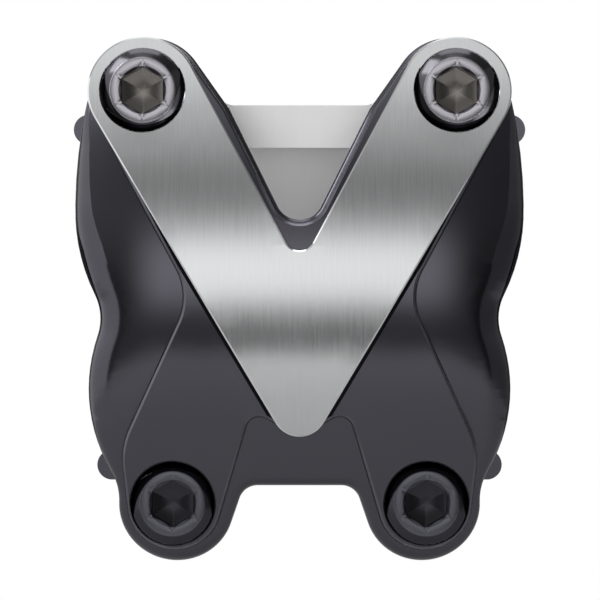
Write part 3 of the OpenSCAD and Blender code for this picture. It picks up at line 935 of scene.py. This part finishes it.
def boltHead(matrix, headRadius):
    def knurled(angle, i):
        return headRadius - (boltSizes["knurlDepth"] if i % 2 else 0)

    top, chamfer, edge = boltSizes["headHeight"], boltSizes["chamfer"], boltSizes["edgeRound"]
    shank, neck = boltSizes["shankRadius"], boltSizes["neck"]
    knurlStart, runIn = boltSizes["knurlStart"], boltSizes["knurlRunIn"]
    knurlTop = top - chamfer - boltSizes["knurlEnd"]
    keyMouth = boltSizes["keyWidth"] / 2 / math.cos(math.radians(30)) + boltSizes["keyRim"]
    keyFloor = top - boltSizes["keyDepth"]
    rings = [
        (0.0, -neck, 0),
        (shank, -neck, 0),
        (shank, 0, 0),
        (headRadius - edge, 0, 0),
        (headRadius, edge, 0),
        (headRadius, knurlStart, 0),
        (knurled, knurlStart + runIn, 0),
        (knurled, knurlTop - runIn, 0),
        (headRadius, knurlTop, 0),
        # both corners of the chamfer are rounded a little, and the chamfer takes the second finish, painted
        # dark as a reflection
        (headRadius, top - chamfer - edge, 0),
        (headRadius - edge * 0.3, top - chamfer + edge * 0.7, 1),
        (headRadius - chamfer + edge * 0.3, top - edge * 0.3, 1),
        (headRadius - chamfer - edge * 0.8, top, 0),
        (keyMouth, top, 0),
        (keyRadius, top - boltSizes["keyLead"], 1),
        # the key's walls and its drill cone take the third finish, painted darker as shade
        (keyRadius, keyFloor, 2),
        (0.0, keyFloor - boltSizes["drillDrop"], 2),
    ]
    return lathe(rings, matrix)


def standingOn(place, axis):
    # local z points along the axis, out of the head
    z = Vector(axis)
    y = Vector((0, 0, 1)) if abs(z.y) > 0.5 else Vector((0, 1, 0))
    x = y.cross(z)
    return Matrix.Translation(place) @ Matrix((x, y, z)).transposed().to_4x4()


def axisOf(node):
    return next(j["axis"] for j in record["behaviour"]["joints"] if j["child"] == node)


def boltPiece(node, finishes):
    low, high = boxOf(node)
    axis = axisOf(node)
    along = Vector(axis)
    across = Vector([1 - abs(value) for value in axis])
    length = abs((high - low).dot(along))
    headRadius = (high - low).dot(across) / 4  # the box is one head wide in two directions
    matrix = standingOn((low + high) / 2 + along * (length / 2 - boltSizes["headHeight"]), axis)
    head = closedPiece(boltHead(matrix, headRadius), node, finishes)
    shank = length - boltSizes["headHeight"] - boltSizes["neck"]
    thread = threadMesh(threads, threadSizes(shank), finishes[0])
    spot = thread.attributes.new("turned", "FLOAT_VECTOR", "POINT")
    for i, vert in enumerate(thread.vertices):
        spot.data[i].vector = (math.hypot(vert.co.x, vert.co.y), vert.co.z, 0)
    down = Matrix.Translation((0, 0, -boltSizes["neck"] - shank))
    thread.transform(Matrix.Scale(mm, 4) @ matrix @ down)
    joined = bmesh.new()
    joined.from_mesh(head)
    joined.from_mesh(thread)
    joined.to_mesh(head)
    joined.free()
    return smoothMesh(head, node + "Piece", boltSizes["sharp"])


def washerPiece(node, finish):
    low, high = boxOf(node)
    axis = axisOf(node)
    along = Vector(axis)
    full = abs((high - low).dot(along))
    matrix = standingOn((low + high) / 2 - along * full / 2, axis)
    thickness = full - washerSizes["clear"]
    inner, outer, edge = (washerSizes[key] for key in ("inner", "outer", "edge"))
    profile = [
        (inner, edge),
        (inner, thickness - edge),
        (inner + edge, thickness),
        (outer - edge, thickness),
        (outer, thickness - edge),
        (outer, edge),
        (outer - edge, 0),
        (inner + edge, 0),
        (inner, edge),
    ]
    shell = lathe([(radius, height, 0) for radius, height in profile], matrix)
    return smoothMesh(closedPiece(shell, node, [finish]), node + "Piece")


for node in boltAt:
    if node in ("upper_left_bolt", "upper_right_bolt"):
        finishes, slotName = [platedSteel, platedBevelPaintedDark, platedKeyPaintedShade], "polished_steel"
    else:
        finishes, slotName = [blackSteel, blackSteelBevelPaintedDark, blackSteelKeyPaintedShade], "black_steel"
    standsFor(boltPiece(node, finishes), node, node)
    washer = node.replace("_bolt", "_washer")
    standsFor(washerPiece(washer, finishes[0]), washer, washer)
print("bolts and washers made")


# Floor, light and camera

studio = {
    "floorDrop": 90,  # below the clamp's axis
    "floorRadius": 380,
    "cameraGap": 450,  # from the front of the faceplate
    "viewWidth": 61.2,  # what the picture takes in there
    "sensor": 36,
    "aim": (0.05, -0.3),
    # sine of the height above the horizon, and how bright the studio is there
    "ahead": [
        (-1, 0.2), (-0.3, 0.1), (-0.2, 0.05), (-0.12, 0.06), (-0.04, 0.45), (0, 0.95), (0.03, 1.1),
        (0.19, 1.1), (0.28, 0.5), (0.36, 0.22), (0.48, 0.2), (0.55, 0.32), (0.68, 0.5), (0.84, 0.8),
        (0.93, 0.8), (1, 0.2),
    ],
    "aside": [
        (-1, 0.2), (-0.3, 0.12), (-0.2, 0.06), (-0.05, 0.05), (0.05, 0.06), (0.16, 0.11), (0.3, 0.18),
        (0.5, 0.18), (0.68, 0.22), (0.85, 0.3), (1, 0.2),
    ],
    "leftLevel": 2.0,  # how much of that light comes from the left
    "rightLevel": 0.7,
}


def floorPiece():
    mesh = bpy.data.meshes.new("floor")
    work = bmesh.new()
    bmesh.ops.create_circle(work, cap_ends=True, segments=96, radius=studio["floorRadius"] * mm)
    bmesh.ops.translate(work, verts=work.verts, vec=(0, barY * mm, -studio["floorDrop"] * mm))
    work.to_mesh(mesh)
    work.free()
    floor = bpy.data.objects.new("floor", mesh)
    bpy.context.scene.collection.objects.link(floor)
    paint = bpy.data.materials.new("matt white paper")
    paint.use_nodes = True
    shader = paint.node_tree.nodes["Principled BSDF"]
    shader.inputs["Base Color"].default_value = linear("#c6c6c6")
    shader.inputs["Roughness"].default_value = 0.9
    mesh.materials.append(paint)


def studioWorld():
    world = bpy.data.worlds.new("soft studio")
    bpy.context.scene.world = world
    world.use_nodes = True
    tree = world.node_tree
    tree.nodes.clear()
    toward = addNode(
        tree, "ShaderNodeSeparateXYZ", {0: addNode(tree, "ShaderNodeTexCoord").outputs["Generated"]}
    ).outputs
    height = addNode(tree, "ShaderNodeMapRange", {"Value": toward[2], "From Min": -1}).outputs[0]
    bands = {}
    for name in ("ahead", "aside"):
        ramp = addNode(tree, "ShaderNodeValToRGB", {0: height})
        elements = ramp.color_ramp.elements
        while len(elements) < len(studio[name]):
            elements.new(0.5)
        for element, (sine, level) in zip(elements, studio[name]):
            element.position = (sine + 1) / 2
            element.color = (level, level, level, 1)
        bands[name] = ramp.outputs[0]
    away = addNode(tree, "ShaderNodeMath", {0: toward[0]}, operation="ABSOLUTE").outputs[0]
    turned = addNode(
        tree, "ShaderNodeMapRange", {"Value": away, "From Min": 0.1, "From Max": 0.3}
    ).outputs[0]
    mix = {"Factor": turned, 6: bands["ahead"], 7: bands["aside"]}
    level = addNode(tree, "ShaderNodeMix", mix, data_type="RGBA").outputs[2]
    left = addNode(
        tree, "ShaderNodeMapRange",
        {"Value": toward[0], "From Min": -0.5, "From Max": 0.5,
         "To Min": studio["leftLevel"], "To Max": studio["rightLevel"]},
    ).outputs[0]
    boxes = addNode(tree, "ShaderNodeBackground", {"Color": level, "Strength": left}).outputs[0]
    white = addNode(tree, "ShaderNodeBackground", {"Color": (1, 1, 1, 1), "Strength": 1.0}).outputs[0]
    seen = addNode(tree, "ShaderNodeLightPath").outputs["Is Camera Ray"]
    both = addNode(tree, "ShaderNodeMixShader", {0: seen, 1: boxes, 2: white}).outputs[0]
    addNode(tree, "ShaderNodeOutputWorld", {"Surface": both})


def softBox(name, place, target, size, power, mirrored=True):
    light = bpy.data.lights.new(name, "AREA")
    light.shape = "RECTANGLE"
    light.size, light.size_y = size[0] * mm, size[1] * mm
    light.energy = power
    box = bpy.data.objects.new(name, light)
    box.location = Vector(place) * mm
    box.rotation_euler = (Vector(target) * mm - box.location).to_track_quat("-Z", "Y").to_euler()
    box.visible_camera = False
    box.visible_glossy = mirrored
    bpy.context.scene.collection.objects.link(box)


floorPiece()
studioWorld()
clampAxis = (0, barY, 0)
softBox("key, upper left", (-600, -380, 640), clampAxis, (420, 420), 3)
softBox("top", (0, -40, 800), clampAxis, (600, 400), 1.5)
softBox("side, left", (-500, -60, -40), clampAxis, (1100, 900), 2.6)
softBox("side, right", (500, -60, -40), clampAxis, (1100, 900), 0.5)
softBox("front, into the bore", (0, -520, 0), clampAxis, (200, 200), 0.9, mirrored=False)

camera = bpy.data.objects.new("camera", bpy.data.cameras.new("camera"))
platesThick = crossSizes["thickness"] + veeSizes["thickness"]
cameraY = boxOf("vee_plate")[0].y + platesThick - studio["cameraGap"]
camera.location = Vector((studio["aim"][0], cameraY, studio["aim"][1])) * mm
camera.rotation_euler = (math.pi / 2, 0, 0)
camera.data.sensor_width = studio["sensor"]
camera.data.lens = studio["sensor"] * studio["cameraGap"] / studio["viewWidth"]
camera.data.clip_start, camera.data.clip_end = 10 * mm, 20
bpy.context.scene.collection.objects.link(camera)
bpy.context.scene.camera = camera
bpy.context.scene.view_settings.view_transform = "Standard"
print("studio ready")
